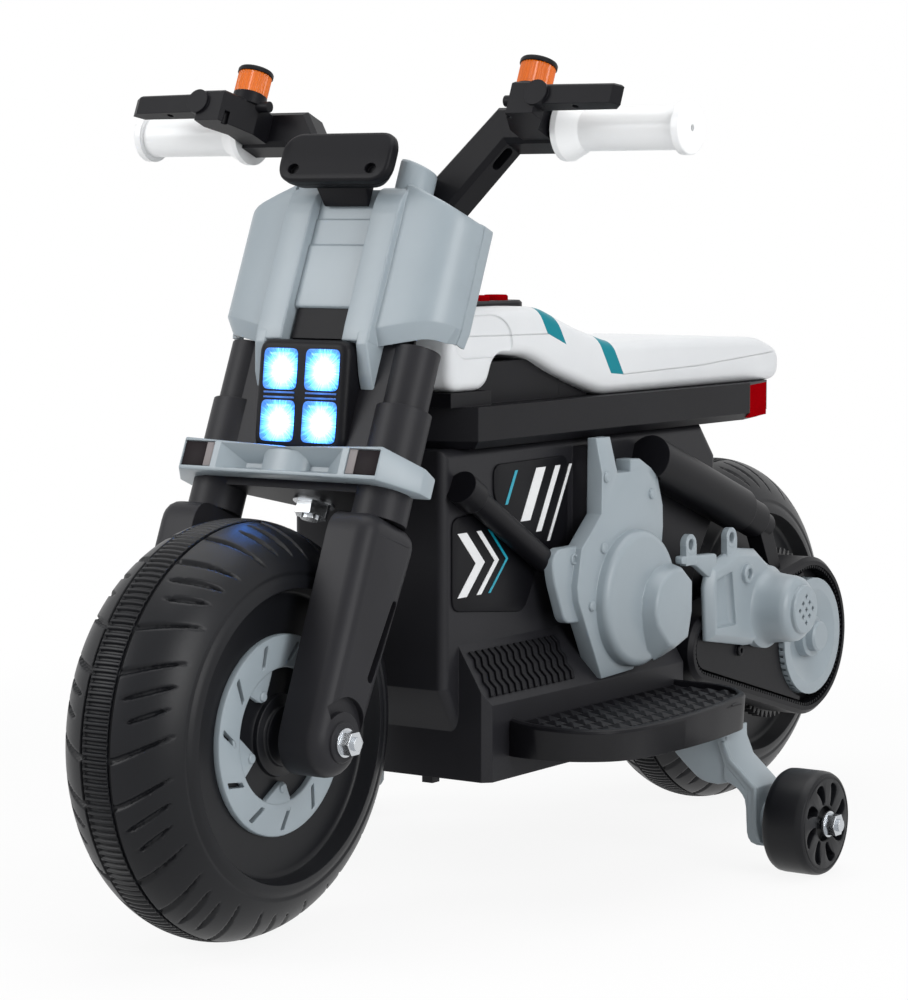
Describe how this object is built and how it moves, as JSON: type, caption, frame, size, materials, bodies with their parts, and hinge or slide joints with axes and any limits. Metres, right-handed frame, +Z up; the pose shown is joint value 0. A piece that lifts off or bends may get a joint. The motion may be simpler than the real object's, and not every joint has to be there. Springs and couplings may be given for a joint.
{
  "type": "kids electric motorbike",
  "caption": "Small battery ride-on motorbike for a child, with fat tyres, a raked steering fork, a one-piece tank seat, footrests and stabiliser wheels.",
  "frame": {"origin": "floor point midway between the two axles, under the middle of the box around the bike", "axes": "+Z up, -Y ahead of the bike, +X to the rider's left"},
  "size_m": [0.4362, 0.8118, 0.5236],
  "materials": {
    "tyre": "matte blow-moulded tyre plastic",
    "grey_plastic": "semi-gloss silver-grey",
    "white_plastic": "glossy white",
    "gear_nylon": "natural nylon",
    "zinc_steel": "zinc plated",
    "black_plastic": "fine-grained satin black",
    "lamp_lens": "clear fluted lens, lit",
    "amber_lens": "translucent amber",
    "red_lens": "translucent red",
    "reflector": "dark glossy",
    "button_red": "glossy red",
    "board_case": "green board in a case"
  },
  "bodies": {
    "chassis": {"cover_screws": "grey_plastic", "pulley_covers": "grey_plastic", "engine_cover_left": "grey_plastic", "engine_cover_right": "grey_plastic", "motor_cover_left": "grey_plastic", "motor_cover_right": "grey_plastic", "stabiliser_arm_left": "grey_plastic", "stabiliser_arm_right": "grey_plastic", "seat": "white_plastic", "rear_axle": "zinc_steel", "chassis_nuts": "zinc_steel", "stabiliser_axles": "zinc_steel", "drive_motor": "zinc_steel", "head_tube": "black_plastic", "body_shell_left": "black_plastic", "body_shell_right": "black_plastic", "belly_pan": "black_plastic", "seat_rail": "black_plastic", "control_panel": "black_plastic", "footrest_left": "black_plastic", "footrest_right": "black_plastic", "battery": "black_plastic", "charge_socket": "black_plastic", "belt_guard_left": "black_plastic", "belt_guard_right": "black_plastic", "down_tube_left": "black_plastic", "down_tube_right": "black_plastic", "rear_shock_left": "black_plastic", "rear_shock_right": "black_plastic", "tail_lamps": "red_lens", "control_board": "board_case"},
    "steering": {"steering_stem": "zinc_steel", "steering_nuts": "zinc_steel", "fork_crown": "black_plastic", "fork_leg_left": "black_plastic", "fork_leg_right": "black_plastic", "front_axle": "zinc_steel", "bumper": "grey_plastic", "bumper_reflectors": "reflector", "headlamp_housing": "black_plastic", "headlamp_lenses": "lamp_lens", "front_cowl": "grey_plastic", "handlebar": "black_plastic", "grip_left": "white_plastic", "grip_right": "white_plastic", "lever_left": "black_plastic", "lever_right": "black_plastic", "indicator_lamps": "amber_lens", "indicator_caps": "black_plastic", "dash_pod": "black_plastic"},
    "front_wheel": {"front_tyre": "tyre", "front_discs": "grey_plastic"},
    "rear_wheel": {"rear_tyre": "tyre", "drive_gear": "gear_nylon"},
    "motor_rotor": {"motor_pinion": "zinc_steel"},
    "stabiliser_left": {"stabiliser_wheel_left": "black_plastic"},
    "stabiliser_right": {"stabiliser_wheel_right": "black_plastic"},
    "pedal": {"accelerator_pedal": "black_plastic"},
    "start": {"start_button": "button_red"},
    "horn": {"horn_button": "button_red"}
  },
  "joints": [
    {"name": "steer", "type": "hinge", "parent": "chassis", "child": "steering", "pos_m": [0, -0.2579, 0.11543], "axis": [0, 0.3827, 0.9239], "range_deg": [-20, 20]},
    {"name": "front_wheel_spin", "type": "hinge", "parent": "steering", "child": "front_wheel", "pos_m": [0, -0.281, 0.125], "axis": [1, 0, 0], "continuous": true},
    {"name": "rear_wheel_spin", "type": "hinge", "parent": "chassis", "child": "rear_wheel", "pos_m": [0, 0.281, 0.125], "axis": [1, 0, 0], "continuous": true},
    {"name": "motor_spin", "type": "hinge", "parent": "chassis", "child": "motor_rotor", "pos_m": [0.06, 0.20445, 0.15439], "axis": [1, 0, 0], "continuous": true},
    {"name": "stabiliser_left_spin", "type": "hinge", "parent": "chassis", "child": "stabiliser_left", "pos_m": [0.192, 0.075, 0.034], "axis": [1, 0, 0], "continuous": true},
    {"name": "stabiliser_right_spin", "type": "hinge", "parent": "chassis", "child": "stabiliser_right", "pos_m": [-0.192, 0.075, 0.034], "axis": [1, 0, 0], "continuous": true},
    {"name": "pedal_press", "type": "hinge", "parent": "chassis", "child": "pedal", "pos_m": [-0.108, -0.048, 0.116], "axis": [1, 0, 0], "range_deg": [0, 8], "stiffness_Nm_per_rad": 2},
    {"name": "start_press", "type": "slide", "parent": "chassis", "child": "start", "axis": [0, 0, -1], "range_m": [0, 0.0015], "stiffness_N_per_m": 300},
    {"name": "horn_press", "type": "slide", "parent": "chassis", "child": "horn", "axis": [0, 0, -1], "range_m": [0, 0.0015], "stiffness_N_per_m": 300}
  ],
  "couplings": [
    {"joint": "motor_spin", "follows": "rear_wheel_spin", "ratio": -2.7273}
  ]
}
